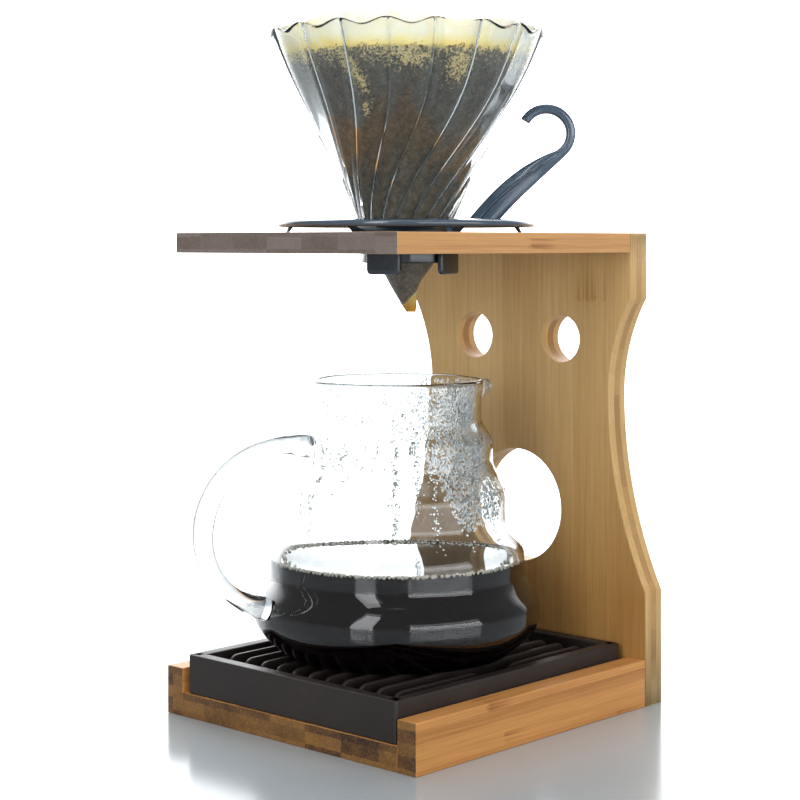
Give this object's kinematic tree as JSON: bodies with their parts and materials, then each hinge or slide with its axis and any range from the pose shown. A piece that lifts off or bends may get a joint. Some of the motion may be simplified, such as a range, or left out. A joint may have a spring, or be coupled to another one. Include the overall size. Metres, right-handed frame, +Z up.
{
  "type": "pour-over dripper stand",
  "caption": "Bamboo pour-over stand with a holed shelf, slide-out drip tray, lift-out fluted glass dripper with filter, and a glass server that catches the brew.",
  "frame": {"origin": "on the floor, at the centre of the base's underside", "axes": "+Z up; -Y to the front, where the tray slides out; +X to the right seen from the front"},
  "size_m": [0.146, 0.1801, 0.298],
  "materials": {
    "bamboo": "satin oiled",
    "dowel_wood": "plain",
    "screw_steel": "zinc plated",
    "tray_plastic": "matte moulded",
    "holder_plastic": "satin moulded",
    "glass": "clear borosilicate",
    "filter_paper": "unbleached, wet",
    "coffee_grounds": "wet grains",
    "coffee": "liquid"
  },
  "bodies": {
    "stand": {"back_panel": "bamboo", "shelf": "bamboo", "base_floor": "bamboo", "left_rail": "bamboo", "right_rail": "bamboo", "shelf_screws": "screw_steel", "base_screws": "screw_steel", "shelf_dowels": "dowel_wood", "panel_dowels": "dowel_wood", "rail_dowels": "dowel_wood"},
    "tray": {"drip_tray": "tray_plastic", "tray_ribs": "tray_plastic"},
    "server": {"server_jug": "glass", "server_handle": "glass", "brewed_coffee": "coffee"},
    "dripper": {"dripper_holder": "holder_plastic", "retaining_ring": "holder_plastic", "hook_handle": "holder_plastic", "dripper_cone": "glass"},
    "filter": {"paper_filter": "filter_paper", "coffee_bed": "coffee_grounds"}
  },
  "joints": [
    {"name": "tray_slide", "type": "slide", "parent": "stand", "child": "tray", "axis": [0, -1, 0], "range_m": [0, 0.15]},
    {"name": "server_out", "type": "slide", "parent": "tray", "child": "server", "axis": [0, -0.9848, 0.1736], "range_m": [0, 0.17]},
    {"name": "dripper_lift", "type": "slide", "parent": "stand", "child": "dripper", "axis": [0, 0, 1], "range_m": [0, 0.09]},
    {"name": "filter_lift", "type": "slide", "parent": "dripper", "child": "filter", "axis": [0, 0, 1], "range_m": [0, 0.13]}
  ]
}
